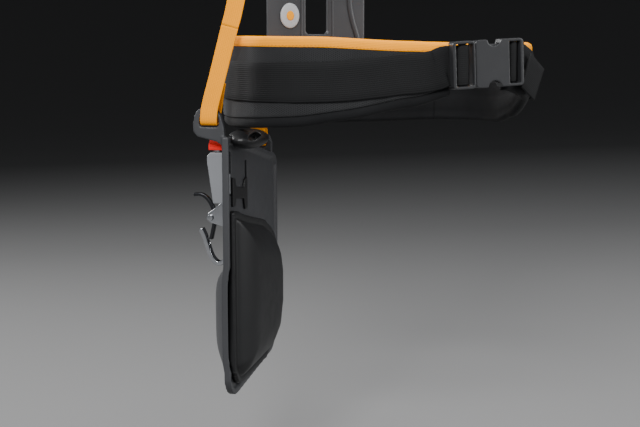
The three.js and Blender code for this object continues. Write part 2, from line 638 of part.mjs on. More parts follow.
function addLoadStraps() {
  const { width, thickness } = LOAD_STRAP;
  const outward = vector(-Math.sin(PLATE.turn), Math.cos(PLATE.turn), 0);
  const besidePlate = (x, y, z) => (
    vector(x, y, z).applyAxisAngle(UP, PLATE.turn).add(vector(...PLATE.position)).toArray());
  const front = [
    besidePlate(PLATE.front + 0.7, 18, -52), besidePlate(PLATE.front + 0.7, 16, -28),
    [-151.5, -44, 76], [-136, -54.5, 160], [-127 + FRAME.centreX, -60.5, 193],
  ];
  const turning = (share) => outward.clone().negate().lerp(vector(1, 0, 0), Math.min(share * 2, 1)).normalize();
  addMesh(object, 'front_load_strap', ribbon(smooth(front, 16), turning, width, thickness), 'orange_webbing');

  const rear = [
    besidePlate(PLATE.rear - 1.6, 19, -84), besidePlate(PLATE.rear - 1.6, 19, -66),
    [-75, 135.5, -46], [-74, 135, -15], [-72.5, 134, 4], [-72, 134, 18],
  ];
  addMesh(object, 'rear_load_strap', ribbon(smooth(rear, 14), turning, width, thickness), 'orange_webbing');

  const side = [[127 + FRAME.centreX, -60.5, 193], [142, -30, 178], [150, 30, 158], [130, 88, 144], [90, 123, 134], [72, 134, 131]];
  const upright = (share) => vector(1, 0, 0).lerp(UP, Math.min(share * 2.5, 1)).normalize();
  addMesh(object, 'left_side_strap', ribbon(smooth(side, 18), upright, width, thickness), 'black_webbing');
}

addBelt();
addWaistBuckle();
addHipPlateGroup();
addLumbarFrame();
addUpperFrame();
addBackPad();
addShoulderPad(-1, 'right');
addShoulderPad(1, 'left');
addLadderLock('right', -127 + FRAME.centreX, -61, LOAD_STRAP.width);
addLadderLock('left', 127 + FRAME.centreX, -61, LOAD_STRAP.width);
addChestStrap();
addLoadStraps();

export default object;
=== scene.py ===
"""Looks of the brushcutter harness: soft goods, moulded plastics and the hook, round the CAD frame.

Lengths in this file are millimetres until mm(), plate_point() or a factor of MM makes them metres.
The wearer faces -Y, +X is the wearer's left, and the origin is in the middle of the waist.
"""
import json
import math

import bmesh
import bpy
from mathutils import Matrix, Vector, noise


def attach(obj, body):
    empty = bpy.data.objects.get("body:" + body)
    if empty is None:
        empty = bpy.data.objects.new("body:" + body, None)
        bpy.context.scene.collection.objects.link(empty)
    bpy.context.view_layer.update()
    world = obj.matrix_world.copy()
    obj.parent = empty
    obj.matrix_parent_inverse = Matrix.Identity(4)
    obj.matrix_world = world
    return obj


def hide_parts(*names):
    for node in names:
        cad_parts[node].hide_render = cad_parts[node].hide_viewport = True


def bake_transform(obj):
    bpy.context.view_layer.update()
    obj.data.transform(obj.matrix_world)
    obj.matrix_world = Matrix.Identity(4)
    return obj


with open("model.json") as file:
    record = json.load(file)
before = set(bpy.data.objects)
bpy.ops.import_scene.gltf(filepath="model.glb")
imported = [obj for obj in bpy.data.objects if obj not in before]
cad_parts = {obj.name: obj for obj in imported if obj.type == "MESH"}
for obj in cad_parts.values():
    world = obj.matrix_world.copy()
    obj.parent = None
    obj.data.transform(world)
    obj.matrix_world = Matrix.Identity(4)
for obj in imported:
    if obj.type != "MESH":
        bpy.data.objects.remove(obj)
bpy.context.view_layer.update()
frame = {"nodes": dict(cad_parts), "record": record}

MM = 0.001
UP = Vector((0, 0, 1))

# The belt loop, as the CAD model has it.
BELT_CENTRE_X = 27
BELT_RIGHT_HALF = 171
BELT_LEFT_HALF = 156
BELT_HALF_DEPTH = 124
BELT_SQUARENESS = 2.9
BELT_TURN = math.radians(-10)
PAD_THICKNESS = 13
TRIM_HEIGHT = 10.5
LUMBAR = (62.03, 138.5)
RIGHT_WING = (138.5, 279)
LEFT_WING = (304, 421.97)
PAD_TOP = [
    (60, 40), (125, 41), (155, 46), (200, 46), (250, 45), (268, 41.5), (279, 38),
    (304, 34), (318, 40), (332, 39.5), (346, 35.5), (362, 36), (422, 40),
]
PAD_BOTTOM = [
    (60, -52), (100, -56), (140, -52), (200, -48), (240, -44), (262, -35), (272, -24), (279, -11),
    (304, -8), (318, -14), (330, -18), (345, -24), (355, -36), (364, -50), (375, -52), (422, -52),
]
WEBBING_MIDDLE = [
    (60, -3), (139, -1), (165, 1), (235, 0), (252, 1), (262, 3.5), (270, 8), (275, 13), (279, 16),
    (304, 20.4), (318, 17), (332, 7), (350, -3), (422, -3),
]
WEBBING_WIDTH = 40
STRAP_WIDTH = 18
CHEST_WIDTH = 23
STRAP_THICKNESS = 1.8

# The hip plate's own frame: +x from front to rear, +y outward, +z up.
PLATE_ORIGIN = Vector((-150.8, -29.3, 0))
PLATE_TURN = math.radians(57)
PLATE_FRONT = -17
PLATE_REAR = 177
PLATE_OUTWARD = Vector((-math.sin(PLATE_TURN), math.cos(PLATE_TURN), 0))
PLATE_INNER = 3.5
PLATE_THICKNESS = 4
PLATE_RIM = 3
PLATE_BULGE = 23
PLATE_SLOTS = {"front": ((-4.5, -118), (3.5, -72)), "rear": ((53.5, -138), (61.5, -86))}
SLOT_RADIUS = 2.4

BUCKLE_CENTRE = Vector((83, -136, 18.4))
BUCKLE_TILT = math.radians(3)
BUCKLE_END = 39.5
BUCKLE_BAR = 3.6
BUCKLE_PLUG_SLOT = 19
BUCKLE_SOCKET_SLOT = 12.5
CHEST_CENTRE = Vector((1, -86, 338))
CHEST_END = 30
CHEST_BAR = 3
CHEST_PLUG_SLOT = 13.5
CHEST_SOCKET_SLOT = 9.5
PLUG_CROSSBAR_SHARE = 0.4
SOCKET_CROSSBAR_SHARE = 0.3
FRAME_MIDDLE_X = 1
FRAME_FRONT_Y = 136
LOCK_X = 127
FLOOR_Z = -0.46


# ------------------------------------------------------------------ small helpers

def mm(x, y, z):
    return Vector((x, y, z)) * MM


def plate_point(x, y, z):
    """A point of the hip plate's own frame, in metres of the object's frame."""
    turned = Vector((x * math.cos(PLATE_TURN) - y * math.sin(PLATE_TURN),
                     x * math.sin(PLATE_TURN) + y * math.cos(PLATE_TURN), z))
    return (turned + PLATE_ORIGIN) * MM


def between(pairs, place):
    """The value at a place in a list of (place, value) pairs, on straight lines between them."""
    if place <= pairs[0][0]:
        return pairs[0][1]
    for (start, low), (end, high) in zip(pairs, pairs[1:]):
        if place <= end:
            return low + (high - low) * (place - start) / (end - start)
    return pairs[-1][1]


def eased(pairs, place, reach=5):
    """between(), with its corners rounded over a reach either side."""
    return sum(between(pairs, place + step * reach / 2) for step in (-2, -1, 0, 1, 2)) / 5


def spread(start, end, count):
    return [start + (end - start) * index / (count - 1) for index in range(count)]


def clamp(value, low=0.0, high=1.0):
    return max(low, min(high, value))


def smooth_path(points, spacing):
    """Points along a Catmull-Rom curve through the given points, about spacing apart."""
    points = [Vector(point) for point in points]
    ends = [2 * points[0] - points[1], *points, 2 * points[-1] - points[-2]]
    fine = []
    for a, b, c, d in zip(ends, ends[1:], ends[2:], ends[3:]):
        steps = max(2, round((c - b).length / spacing * 3))
        for step in range(steps):
            t = step / steps
            fine.append(0.5 * (2 * b + (c - a) * t + (2 * a - 5 * b + 4 * c - d) * t * t
                               + (3 * b - a - 3 * c + d) * t ** 3))
    fine.append(points[-1])
    return even_path(fine, spacing)


def running_lengths(points):
    """The distance along a polyline to each of its points."""
    lengths = [0.0]
    for start, end in zip(points, points[1:]):
        lengths.append(lengths[-1] + (end - start).length)
    return lengths


def even_places(lengths, count):
    """Evenly spaced places on a polyline, each as a segment and the share of it passed."""
    places = []
    segment = 0
    for target in spread(0, lengths[-1], count):
        while segment < len(lengths) - 2 and lengths[segment + 1] < target:
            segment += 1
        span = max(lengths[segment + 1] - lengths[segment], 1e-9)
        places.append((segment, clamp((target - lengths[segment]) / span)))
    return places


def even_path(points, spacing):
    """The same polyline with its points evenly spaced."""
    lengths = running_lengths(points)
    count = max(2, round(lengths[-1] / spacing) + 1)
    return [points[segment].lerp(points[segment + 1], share)
            for segment, share in even_places(lengths, count)]


def tangents(points):
    ends = [points[0], *points, points[-1]]
    return [(after - before).normalized() for before, after in zip(ends, ends[2:])]


# ------------------------------------------------------------------ mesh helpers

def place_in_scene(name, data):
    obj = bpy.data.objects.new(name, data)
    bpy.context.scene.collection.objects.link(obj)
    return obj


def skin_faces(count, size, base=0):
    """Faces that join rings of points in order, with a cap on each end."""
    faces = []
    for row in range(count - 1):
        start = base + row * size
        for side in range(size):
            beside = (side + 1) % size
            faces.append((start + side, start + beside, start + size + beside, start + size + side))
    faces.append(tuple(range(base, base + size)))
    faces.append(tuple(range(base + (count - 1) * size, base + count * size)))
    return faces


def make_object(name, verts, faces, corner_uvs, finish, smooth=True):
    """A mesh object; finish is a name in MATERIALS, or None."""
    mesh = bpy.data.meshes.new(name)
    mesh.from_pydata([tuple(vert) for vert in verts], [], faces)
    if corner_uvs:
        layer = mesh.uv_layers.new(name="UVMap")
        flat = [value for corner in corner_uvs for uv in corner for value in uv]
        layer.data.foreach_set("uv", flat)
    mesh.polygons.foreach_set("use_smooth", [smooth] * len(mesh.polygons))
    obj = place_in_scene(name, mesh)
    if finish:
        mesh.materials.append(MATERIALS[finish])
    face_outward(obj)
    return obj


def face_outward(obj):
    bm = bmesh.new()
    bm.from_mesh(obj.data)
    bmesh.ops.recalc_face_normals(bm, faces=bm.faces)
    bm.to_mesh(obj.data)
    bm.free()


def loft(name, rings, finish):
    """A closed skin over rings of points in metres. Its UVs are lengths in metres."""
    size = len(rings[0])
    verts = [point for ring in rings for point in ring]
    along = [0.0]
    for before, after in zip(rings, rings[1:]):
        along.append(along[-1] + sum((b - a).length for a, b in zip(before, after)) / size)
    middle = rings[len(rings) // 2]
    around = [0.0]
    for index in range(size):
        around.append(around[-1] + (middle[(index + 1) % size] - middle[index]).length)
    corner_uvs = []
    for row in range(len(rings) - 1):
        for side in range(size):
            corner_uvs.append(((along[row], around[side]), (along[row], around[side + 1]),
                               (along[row + 1], around[side + 1]), (along[row + 1], around[side])))
    for place in (0, -1):
        corner_uvs.append(tuple((along[place], around[side]) for side in range(size)))
    return make_object(name, verts, skin_faces(len(rings), size), corner_uvs, finish)


def apply_modifiers(obj):
    depsgraph = bpy.context.evaluated_depsgraph_get()
    evaluated = obj.evaluated_get(depsgraph)
    mesh = bpy.data.meshes.new_from_object(evaluated)
    obj.modifiers.clear()
    old = obj.data
    obj.data = mesh
    mesh.name = obj.name
    bpy.data.meshes.remove(old)


def boolean(obj, tool, operation):
    modifier = obj.modifiers.new("boolean", "BOOLEAN")
    modifier.operation = operation
    modifier.solver = "EXACT"
    modifier.object = tool
    apply_modifiers(obj)
    data = tool.data
    bpy.data.objects.remove(tool)
    bpy.data.meshes.remove(data)


def soften(obj, voxel, rounds, keep=1.0):
    """Remeshes a hard shape and rounds its edges the way a moulding's are."""
    remesh = obj.modifiers.new("remesh", "REMESH")
    remesh.mode = "VOXEL"
    remesh.voxel_size = voxel * MM
    remesh.use_smooth_shade = True
    if rounds:
        relax = obj.modifiers.new("relax", "SMOOTH")
        relax.factor = 0.5
        relax.iterations = rounds
    if keep < 1:
        reduce = obj.modifiers.new("reduce", "DECIMATE")
        reduce.ratio = keep
    apply_modifiers(obj)
    obj.data.polygons.foreach_set("use_smooth", [True] * len(obj.data.polygons))


def moulded(name, node, finish, voxel=0.6, rounds=4, keep=0.5):
    """A CAD node's shape with rounded edges, on the node's own body."""
    source = frame["nodes"][node]
    mesh = source.data.copy()
    mesh.materials.clear()
    mesh.materials.append(MATERIALS[finish])
    obj = place_in_scene(name, mesh)
    bm = bmesh.new()
    bm.from_mesh(mesh)
    bmesh.ops.transform(bm, matrix=source.matrix_world, verts=bm.verts)
    bmesh.ops.remove_doubles(bm, verts=bm.verts, dist=1e-6)
    bm.to_mesh(mesh)
    bm.free()
    soften(obj, voxel, rounds, keep)
    if not obj.data.materials:
        obj.data.materials.append(MATERIALS[finish])
    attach(obj, body_of_node(node))
    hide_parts(node)


def body_of_node(node):
    bodies = frame["record"]["behaviour"]["bodies"]
    return next(body for body, nodes in bodies.items() if node in nodes)


def settle(obj, body, nodes=()):
    """Puts a finished piece on its body, in place of its CAD nodes."""
    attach(obj, body)
    if nodes:
        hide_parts(*nodes)


def rounded_section(width, thickness, edge_points=4):
    """A flat strap's cross-section, as (across, outward) pairs with round edges."""
    radius = thickness / 2
    section = []
    for side in (1, -1):
        centre = side * (width / 2 - radius)
        for index in range(edge_points + 1):
            angle = math.radians(180 * index / edge_points - 90 * side)
            section.append((centre + radius * math.cos(angle), radius * math.sin(angle)))
        section.extend((side * width * share, side * radius) for share in (0.3, 0.1, -0.1, -0.3))
    return section


def strap(name, points, across, finish, width, spacing):
    """A woven strap along a path in millimetres; across says which way its width lies."""
    path = smooth_path(points, spacing)
    section = rounded_section(width, STRAP_THICKNESS)
    rings = []
    for index, (point, tangent) in enumerate(zip(path, tangents(path))):
        wanted = across(index / (len(path) - 1)) if callable(across) else across
        side = (wanted - tangent * wanted.dot(tangent)).normalized()
        face = tangent.cross(side).normalized()
        rings.append([(point + side * a + face * b) * MM for a, b in section])
    return loft(name, rings, finish)


def stitch_line(name, places, finish, length=2.3, gap=1.4, radius=0.28):
    """Thread stitches along places, each a point and its outward direction, in millimetres."""
    points = [point for point, _ in places]
    lengths = running_lengths(points)
    verts, faces = [], []
    sides = 5
    shape = [(-0.5, 0.25), (-0.3, 0.9), (0.3, 0.9), (0.5, 0.25)]
    for number in range(int(lengths[-1] / (length + gap))):
        target = (number + 0.5) * (length + gap)
        segment = max(index for index, value in enumerate(lengths[:-1]) if value <= target)
        share = (target - lengths[segment]) / max(lengths[segment + 1] - lengths[segment], 1e-6)
        centre = points[segment].lerp(points[segment + 1], share)
        tangent = (points[segment + 1] - points[segment]).normalized()
        outward = places[segment][1]
        side = tangent.cross(outward).normalized()
        base = len(verts)
        for step, size in shape:
            for corner in range(sides):
                angle = 2 * math.pi * corner / sides
                offset = side * math.cos(angle) + outward * math.sin(angle)
                verts.append((centre + tangent * step * length + offset * radius * size) * MM)
        faces += skin_faces(len(shape), sides, base)
    return make_object(name, verts, faces, None, finish)


# ------------------------------------------------------------------ materials

class Shader:
    """Builds one node material; every method returns a socket."""

    def __init__(self, name, roughness=0.5, metallic=0.0, sheen=0.0, specular=0.5):
        self.material = bpy.data.materials.new(name)
        self.material.use_nodes = True
        self.tree = self.material.node_tree
        self.surface = self.tree.nodes["Principled BSDF"]
        self.surface.inputs["Roughness"].default_value = roughness
        self.surface.inputs["Metallic"].default_value = metallic
        self.surface.inputs["Sheen Weight"].default_value = sheen
        self.surface.inputs["Specular IOR Level"].default_value = specular

    def add(self, kind, **settings):
        node = self.tree.nodes.new(kind)
        for key, value in settings.items():
            setattr(node, key, value)
        return node

    def link(self, start, end):
        self.tree.links.new(start, end)

    def coordinates(self, uv=False):
        node = self.add("ShaderNodeTexCoord")
        return node.outputs["UV" if uv else "Object"]

    def math(self, operation, first, second=None):
        node = self.add("ShaderNodeMath", operation=operation)
        for index, value in enumerate((first, second)):
            if value is None:
                continue
            if isinstance(value, (int, float)):
                node.inputs[index].default_value = value
            else:
                self.link(value, node.inputs[index])
        return node.outputs[0]

    def plus(self, first, second):
        return self.math("ADD", first, second)

    def times(self, first, second):
        return self.math("MULTIPLY", first, second)

    def split(self, vector):
        node = self.add("ShaderNodeSeparateXYZ")
        self.link(vector, node.inputs[0])
        return node.outputs

    def wave(self, place, period):
        """A sine of a coordinate in metres, from -1 to 1, with its period in millimetres."""
        return self.math("SINE", self.times(place, 2 * math.pi / (period * MM)))

    def noise(self, vector, scale, detail=3.0, roughness=0.55):
        node = self.add("ShaderNodeTexNoise")
        node.inputs["Scale"].default_value = scale
        node.inputs["Detail"].default_value = detail
        node.inputs["Roughness"].default_value = roughness
        self.link(vector, node.inputs["Vector"])
        return node.outputs["Fac"]

    def ramp(self, value, stops):
        node = self.add("ShaderNodeValToRGB")
        ramp = node.color_ramp
        while len(ramp.elements) < len(stops):
            ramp.elements.new(0.5)
        for element, (place, colour) in zip(ramp.elements, stops):
            element.position = place
            element.color = (*colour, 1) if len(colour) == 3 else colour
        self.link(value, node.inputs["Fac"])
        return node.outputs["Color"]

    def remap(self, value, low, high, to_low, to_high):
        node = self.add("ShaderNodeMapRange")
        for index, number in enumerate((low, high, to_low, to_high)):
            node.inputs[index + 1].default_value = number
        self.link(value, node.inputs[0])
        return node.outputs[0]

    def bump(self, height, distance, strength=1.0, under=None):
        node = self.add("ShaderNodeBump")
        node.inputs["Strength"].default_value = strength
        node.inputs["Distance"].default_value = distance * MM
        self.link(height, node.inputs["Height"])
        if under:
            self.link(under, node.inputs["Normal"])
        return node.outputs["Normal"]

    def finish(self, colour=None, roughness=None, normal=None):
        sockets = {"Base Color": colour, "Roughness": roughness, "Normal": normal}
        for name, socket in sockets.items():
            if socket:
                self.link(socket, self.surface.inputs[name])
        return self.material


def shade(colour, factor):
    return tuple(min(channel * factor, 1) for channel in colour)


def webbing_material(name, colour, rib, roughness=0.72, fade=0.2, specular=0.2):
    """Woven tape: ribs along it, picks across it, and slow changes of tone."""
    shader = Shader(name, roughness, specular=specular)
    uv = shader.coordinates(uv=True)
    along, across, _ = shader.split(uv)
    ribs = shader.wave(across, rib)
    picks = shader.wave(shader.plus(along, shader.times(ribs, 0.00025)), rib * 0.8)
    weave = shader.plus(shader.times(ribs, 0.6), shader.times(picks, 0.4))
    cloudy = shader.noise(shader.coordinates(), 22, 4)
    fibre = shader.noise(uv, 2600, 2)
    tone = shader.plus(shader.times(weave, 0.11), shader.times(cloudy, fade * 2))
    tone = shader.plus(tone, shader.times(fibre, 0.12))
    colours = shader.ramp(shader.remap(tone, -0.05, 0.6, 0, 1),
                          [(0, shade(colour, 0.72)), (0.5, colour), (1, shade(colour, 1.18))])
    normal = shader.bump(fibre, 0.08, 0.5, shader.bump(weave, 0.16, 0.6))
    dullness = shader.remap(fibre, 0.2, 0.8, roughness - 0.06, roughness + 0.14)
    return shader.finish(colours, dullness, normal)


def mesh_material(name, colour, hole_shade, uv=True):
    """Spacer mesh: small holes in a honeycomb, with painted shade inside them, over a knitted ground."""
    shader = Shader(name, 0.85, sheen=0.04, specular=0.15)
    place = shader.coordinates(uv=uv)
    first, second, third = shader.split(place)
    if not uv:
        second = third
    period = 2.1 * MM * 0.866
    waves = []
    for degrees in (0, 60, 120):
        direction = math.radians(degrees)
        line = shader.plus(shader.times(first, math.cos(direction)),
                           shader.times(second, math.sin(direction)))
        waves.append(shader.math("COSINE", shader.times(line, 2 * math.pi / period)))
    pattern = shader.plus(shader.plus(waves[0], waves[1]), waves[2])
    holes = shader.remap(pattern, 0.5, 2.2, 0, 1)
    cloudy = shader.noise(shader.coordinates(), 18, 3)
    knit = shader.noise(shader.coordinates(), 1500, 2)
    ground = shader.ramp(shader.plus(shader.times(cloudy, 0.7), shader.times(knit, 0.3)),
                         [(0.3, shade(colour, 0.78)), (0.7, shade(colour, 1.2))])
    # Painted shade: the holes are mixed towards the dark hole colour, which stands in for the shade inside
    # them.
    mix = shader.add("ShaderNodeMix", data_type="RGBA")
    shader.link(holes, mix.inputs["Factor"])
    shader.link(ground, mix.inputs["A"])
    mix.inputs["B"].default_value = (*hole_shade, 1)
    normal = shader.bump(knit, 0.12, 0.5, shader.bump(shader.times(holes, -1.0), 0.5, 0.9))
    return shader.finish(mix.outputs["Result"], None, normal)


def fabric_material(name, colour, roughness=0.85, sheen=0.03):
    """Plain fine cloth over foam, or sewing thread."""
    weave = 0.9
    shader = Shader(name, roughness, sheen=sheen, specular=0.12)
    place = shader.coordinates()
    x, y, z = shader.split(place)
    threads = shader.times(shader.wave(shader.plus(x, y), weave), shader.wave(z, weave))
    fine = shader.noise(place, 1800, 2)
    cloudy = shader.noise(place, 25, 4)
    colours = shader.ramp(cloudy, [(0.3, shade(colour, 0.8)), (0.7, shade(colour, 1.22))])
    height = shader.plus(shader.times(threads, 0.5), fine)
    dullness = shader.remap(fine, 0.3, 0.7, roughness - 0.08, roughness + 0.08)
    return shader.finish(colours, dullness, shader.bump(height, 0.16, 0.7))


def plastic_material(name, colour, roughness, grain=0.35, specular=0.32):
    """Moulded nylon: a fine spark-eroded grain, with faint changes of tone and shine."""
    shader = Shader(name, roughness, specular=specular)
    place = shader.coordinates()
    pits = shader.noise(place, 2400, 2, 0.6)
    flow = shader.noise(place, 14, 5)
    colours = shader.ramp(flow, [(0.25, shade(colour, 0.92)), (0.75, shade(colour, 1.08))])
    shine = shader.remap(shader.noise(place, 60, 4), 0.3, 0.75, roughness - 0.04, roughness + 0.05)
    normal = shader.bump(pits, 0.05, grain)
    return shader.finish(colours, shine, normal)


def metal_material(name, colour, roughness):
    """Plated or bare steel with a slightly uneven polish."""
    shader = Shader(name, roughness, metallic=1.0)
    place = shader.coordinates()
    cloudy = shader.noise(place, 90, 4)
    fine = shader.noise(place, 900, 3)
    colours = shader.ramp(cloudy, [(0.3, shade(colour, 0.88)), (0.7, colour)])
    rough = shader.remap(fine, 0.3, 0.7, max(roughness - 0.05, 0.03), roughness + 0.05)
    return shader.finish(colours, rough, shader.bump(cloudy, 0.08, 0.3))


ORANGE = (1.0, 0.36, 0.0)
MESH_GREY = (0.021, 0.0215, 0.0225)
# Painted shade: the colour put inside the mesh's holes, standing in for the shade there.
MESH_HOLE_SHADE = (0.004, 0.004, 0.0045)
MATERIALS = {
    "orange": webbing_material("orange_tape", ORANGE, rib=1.6, fade=0.1, specular=0.08),
    "orange_strap": webbing_material("orange_strap_tape", ORANGE, rib=1.9, fade=0.1, specular=0.08),
    "black": webbing_material("black_webbing", (0.0052, 0.0054, 0.0058), rib=2.0),
    "red": webbing_material("red_tape", (0.66, 0.02, 0.015), rib=1.5, specular=0.1),
    "mesh": mesh_material("spacer_mesh", MESH_GREY, MESH_HOLE_SHADE),
    "mesh_flat": mesh_material("spacer_mesh_flat", MESH_GREY, MESH_HOLE_SHADE, uv=False),
    "foam_edge": fabric_material("foam_edge_cloth", (0.007, 0.0072, 0.0078)),
    "thread_orange": fabric_material("orange_thread", shade(ORANGE, 0.5), 0.7, 0.0),
    "buckle": plastic_material("buckle_nylon", (0.020, 0.0205, 0.022), 0.34),
    "plate": plastic_material("plate_nylon", (0.036, 0.037, 0.040), 0.44),
    "frame": plastic_material("frame_nylon", (0.046, 0.047, 0.050), 0.36),
    "carrier": plastic_material("carrier_nylon", (0.17, 0.175, 0.185), 0.36),
    "badge": plastic_material("badge_plastic", (0.42, 0.43, 0.44), 0.35),
    "button": plastic_material("button_plastic", ORANGE, 0.4, specular=0.2),
    "rubber": plastic_material("cover_rubber", (0.006, 0.006, 0.0065), 0.42, 0.12),
    "clip": plastic_material("clip_nylon", (0.007, 0.007, 0.0075), 0.42),
    "thigh": plastic_material("thigh_skin", (0.0055, 0.0057, 0.0062), 0.48, 0.6),
    "chrome": metal_material("hook_chrome", (0.42, 0.43, 0.45), 0.14),
    "dark_steel": metal_material("gate_steel", (0.045, 0.046, 0.05), 0.3),
    "zinc": metal_material("zinc_steel", (0.42, 0.42, 0.43), 0.32),
}


# ------------------------------------------------------------------ padded belt

def belt_point(angle, offset, height):
    """A point round the belt, offset outward from the pads' outer face, in millimetres."""
    cosine, sine = math.cos(math.radians(angle)), math.sin(math.radians(angle))
    power = 2 / BELT_SQUARENESS
    half_width = BELT_RIGHT_HALF if cosine < 0 else BELT_LEFT_HALF
    x = half_width * math.copysign(abs(cosine) ** power, cosine)
    y = BELT_HALF_DEPTH * math.copysign(abs(sine) ** power, sine)
    slope = BELT_SQUARENESS - 1
    outward = Vector((math.copysign(abs(x / half_width) ** slope / half_width, x),
                      math.copysign(abs(y / BELT_HALF_DEPTH) ** slope / BELT_HALF_DEPTH, y), 0)).normalized()
    flat = Vector((x, y, 0)) + outward * offset
    turned = Vector((flat.x * math.cos(BELT_TURN) - flat.y * math.sin(BELT_TURN),
                     flat.x * math.sin(BELT_TURN) + flat.y * math.cos(BELT_TURN), height))
    return turned + Vector((BELT_CENTRE_X, 0, 0))


def belt_angles(start, end, spacing):
    """Angles that lie evenly spaced along the loop."""
    fine = spread(start, end, int((end - start) * 3) + 2)
    lengths = running_lengths([belt_point(angle, 0, 0) for angle in fine])
    count = max(3, round(lengths[-1] / spacing) + 1)
    return [fine[segment] + (fine[segment + 1] - fine[segment]) * share
            for segment, share in even_places(lengths, count)]


def belt_sag(angle, height):
    """The pads' slow waviness: how far the fabric stands out of the smooth loop."""
    point = belt_point(angle, 0, height)
    crease = math.exp(-((angle - 207) / 4.5) ** 2) * 1.6 * clamp((height + 30) / 40)
    return 1.1 * noise.noise(point * 0.018) + 0.5 * noise.noise(point * 0.06) - crease


def around_belt(name, angles, section, finish):
    rings = []
    for angle in angles:
        rings.append([belt_point(angle, offset + belt_sag(angle, height), height) * MM
                      for offset, height in section(angle)])
    return loft(name, rings, finish)


def end_pull(angle, reach=2.2):
    """How far a wing's section draws in toward its free front end, from 0 to 1."""
    near = min(abs(angle - RIGHT_WING[1]), abs(angle - LEFT_WING[0])) / reach
    return 1 - math.sqrt(clamp(1 - (1 - clamp(near)) ** 2))


def core_section(angle):
    """The foam core: round lower edge, and a soft inner face sewn into three channels."""
    top = eased(PAD_TOP, angle) - 4
    bottom = eased(PAD_BOTTOM, angle)
    pull = end_pull(angle) * 3.5
    depth = PAD_THICKNESS
    section = [(-1.2 - pull, bottom + 11), (-0.2 - pull, bottom + 8), (-0.1 - pull, bottom + 5),
               (-1.6 - pull, bottom + 1.8), (-4.5, bottom + 0.2), (-8, bottom + 0.2),
               (1.8 - depth + pull, bottom + 1.8), (0.2 - depth + pull, bottom + 5)]
    inner = bottom + 8
    channels = 3
    step = (top - 6 - inner) / channels
    for channel in range(channels):
        for place in spread(0, 1, 7)[:-1]:
            swell = math.sin(math.pi * place) ** 0.7 * 2.2
            section.append((2.2 - depth - swell + pull, inner + (channel + place) * step))
    section += [(1.8 - depth + pull, top - 4), (2 - depth + pull, top), (-3 - pull, top),
                (-1.4 - pull, top - 4), (-1.3 - pull, (top + bottom) / 2)]
    return section


def panel_section(angle):
    """The mesh panel on the outer face, a little proud of the core, with a rolled edge."""
    top = eased(PAD_TOP, angle) - 6
    bottom = eased(PAD_BOTTOM, angle) + 10.5
    pull = end_pull(angle) * 1.4
    middle = spread(bottom + 4, top - 4, 9)
    crown = [(0.55 + 0.35 * math.sin(math.pi * index / 8) - pull, height)
             for index, height in enumerate(middle)]
    return [(-1.6, bottom + 0.6), (-0.4 - pull, bottom), (0.35 - pull, bottom + 1),
            (0.6 - pull, bottom + 2.4), *crown, (0.3 - pull, top), (-1.6, top), (-1.6, (top + bottom) / 2)]


def trim_section(angle):
    """The orange tape folded over the top edge."""
    top = eased(PAD_TOP, angle)
    low = top - TRIM_HEIGHT
    depth = PAD_THICKNESS
    return [(-0.6, low + 0.3), (0.75, low), (1.15, low + 0.8), (1.1, low + 4), (0.9, top - 3.4),
            (0.1, top - 1.3), (-2.2, top - 0.1), (-depth / 2, top + 0.15), (2.2 - depth, top - 0.1),
            (-0.1 - depth, top - 1.3), (-0.9 - depth, top - 3.4), (-1.1 - depth, low + 4),
            (-1.15 - depth, low + 0.8), (-0.75 - depth, low), (0.6 - depth, low + 0.3),
            (0.4 - depth, top - 3.2), (-0.4, top - 3.2)]


def belt_tape(name, angles, finish, width=WEBBING_WIDTH, extra_before=(), extra_after=()):
    """Webbing laid round the belt, with the slight cockle of a loaded strap."""
    offset = 2.2
    points = list(extra_before)
    for angle in angles:
        height = eased(WEBBING_MIDDLE, angle)
        points.append(belt_point(angle, offset + belt_sag(angle, height), height))
    points += list(extra_after)
    path = smooth_path(even_path(points, 2.2), 2.2)
    rings = []
    section = rounded_section(width, STRAP_THICKNESS)
    for point, tangent in zip(path, tangents(path)):
        side = (UP - tangent * UP.dot(tangent)).normalized()
        face = tangent.cross(side).normalized()
        ring = []
        for a, b in section:
            cockle = 0.35 * noise.noise(Vector((point.x * 0.05, point.y * 0.05, a * 0.16 + 4)))
            ring.append((point + side * a + face * (b + cockle)) * MM)
        rings.append(ring)
    return loft(name, rings, finish)


def trim_stitches(name, angles, height_above_edge=1.7, offset=1.15):
    places = []
    for angle in angles:
        height = eased(PAD_TOP, angle) - TRIM_HEIGHT + height_above_edge
        reach = offset + belt_sag(angle, height)
        point = belt_point(angle, reach, height)
        outward = (belt_point(angle, reach + 1, height) - point).normalized()
        places.append((point, outward))
    return stitch_line(name, places, "thread_orange")


def build_belt():
    sections = (("lumbar", LUMBAR, "harness"), ("right_wing", RIGHT_WING, "harness"),
                ("left_wing", LEFT_WING, "left_wing"))
    for name, (start, end), body in sections:
        angles = belt_angles(start, end, 3.2)
        core = around_belt(f"{name}_core", angles, core_section, "foam_edge")
        settle(core, body, [f"{name}_pad"])
        settle(around_belt(f"{name}_mesh_panel", angles, panel_section, "mesh"), body)
        trim = around_belt(f"{name}_trim", angles, trim_section, "orange")
        settle(trim, body, [f"{name}_binding"])
        stitches = trim_stitches(f"{name}_trim_stitches", belt_angles(start + 0.5, end - 0.5, 2))
        settle(stitches, body)


def buckle_fold(centre, side, end, bar, slot, crossbar, tilt=0.0):
    """Webbing from outside a buckle's end, behind the outer bar and round the crossbar in the slot."""
    middle = end - bar - slot / 2
    half = crossbar / 2
    near = end - bar - (slot / 2 - half) / 2
    far = end - bar - slot + (slot / 2 - half) / 2
    path = [(end + 4, 5), (end, 4.9), (end - 0.7 * bar, 4.5), (near + 0.2, 1.6), (near - 0.8, -1.6),
            (middle + half, -3), (middle, -3.2), (middle - half, -3), (far + 0.8, -1.4), (far + 0.5, 1.8),
            (middle - half + 1, 3.6), (middle + half - 1, 4)]
    return [centre + Vector((side * x, y, side * x * math.sin(tilt))) for x, y in path]


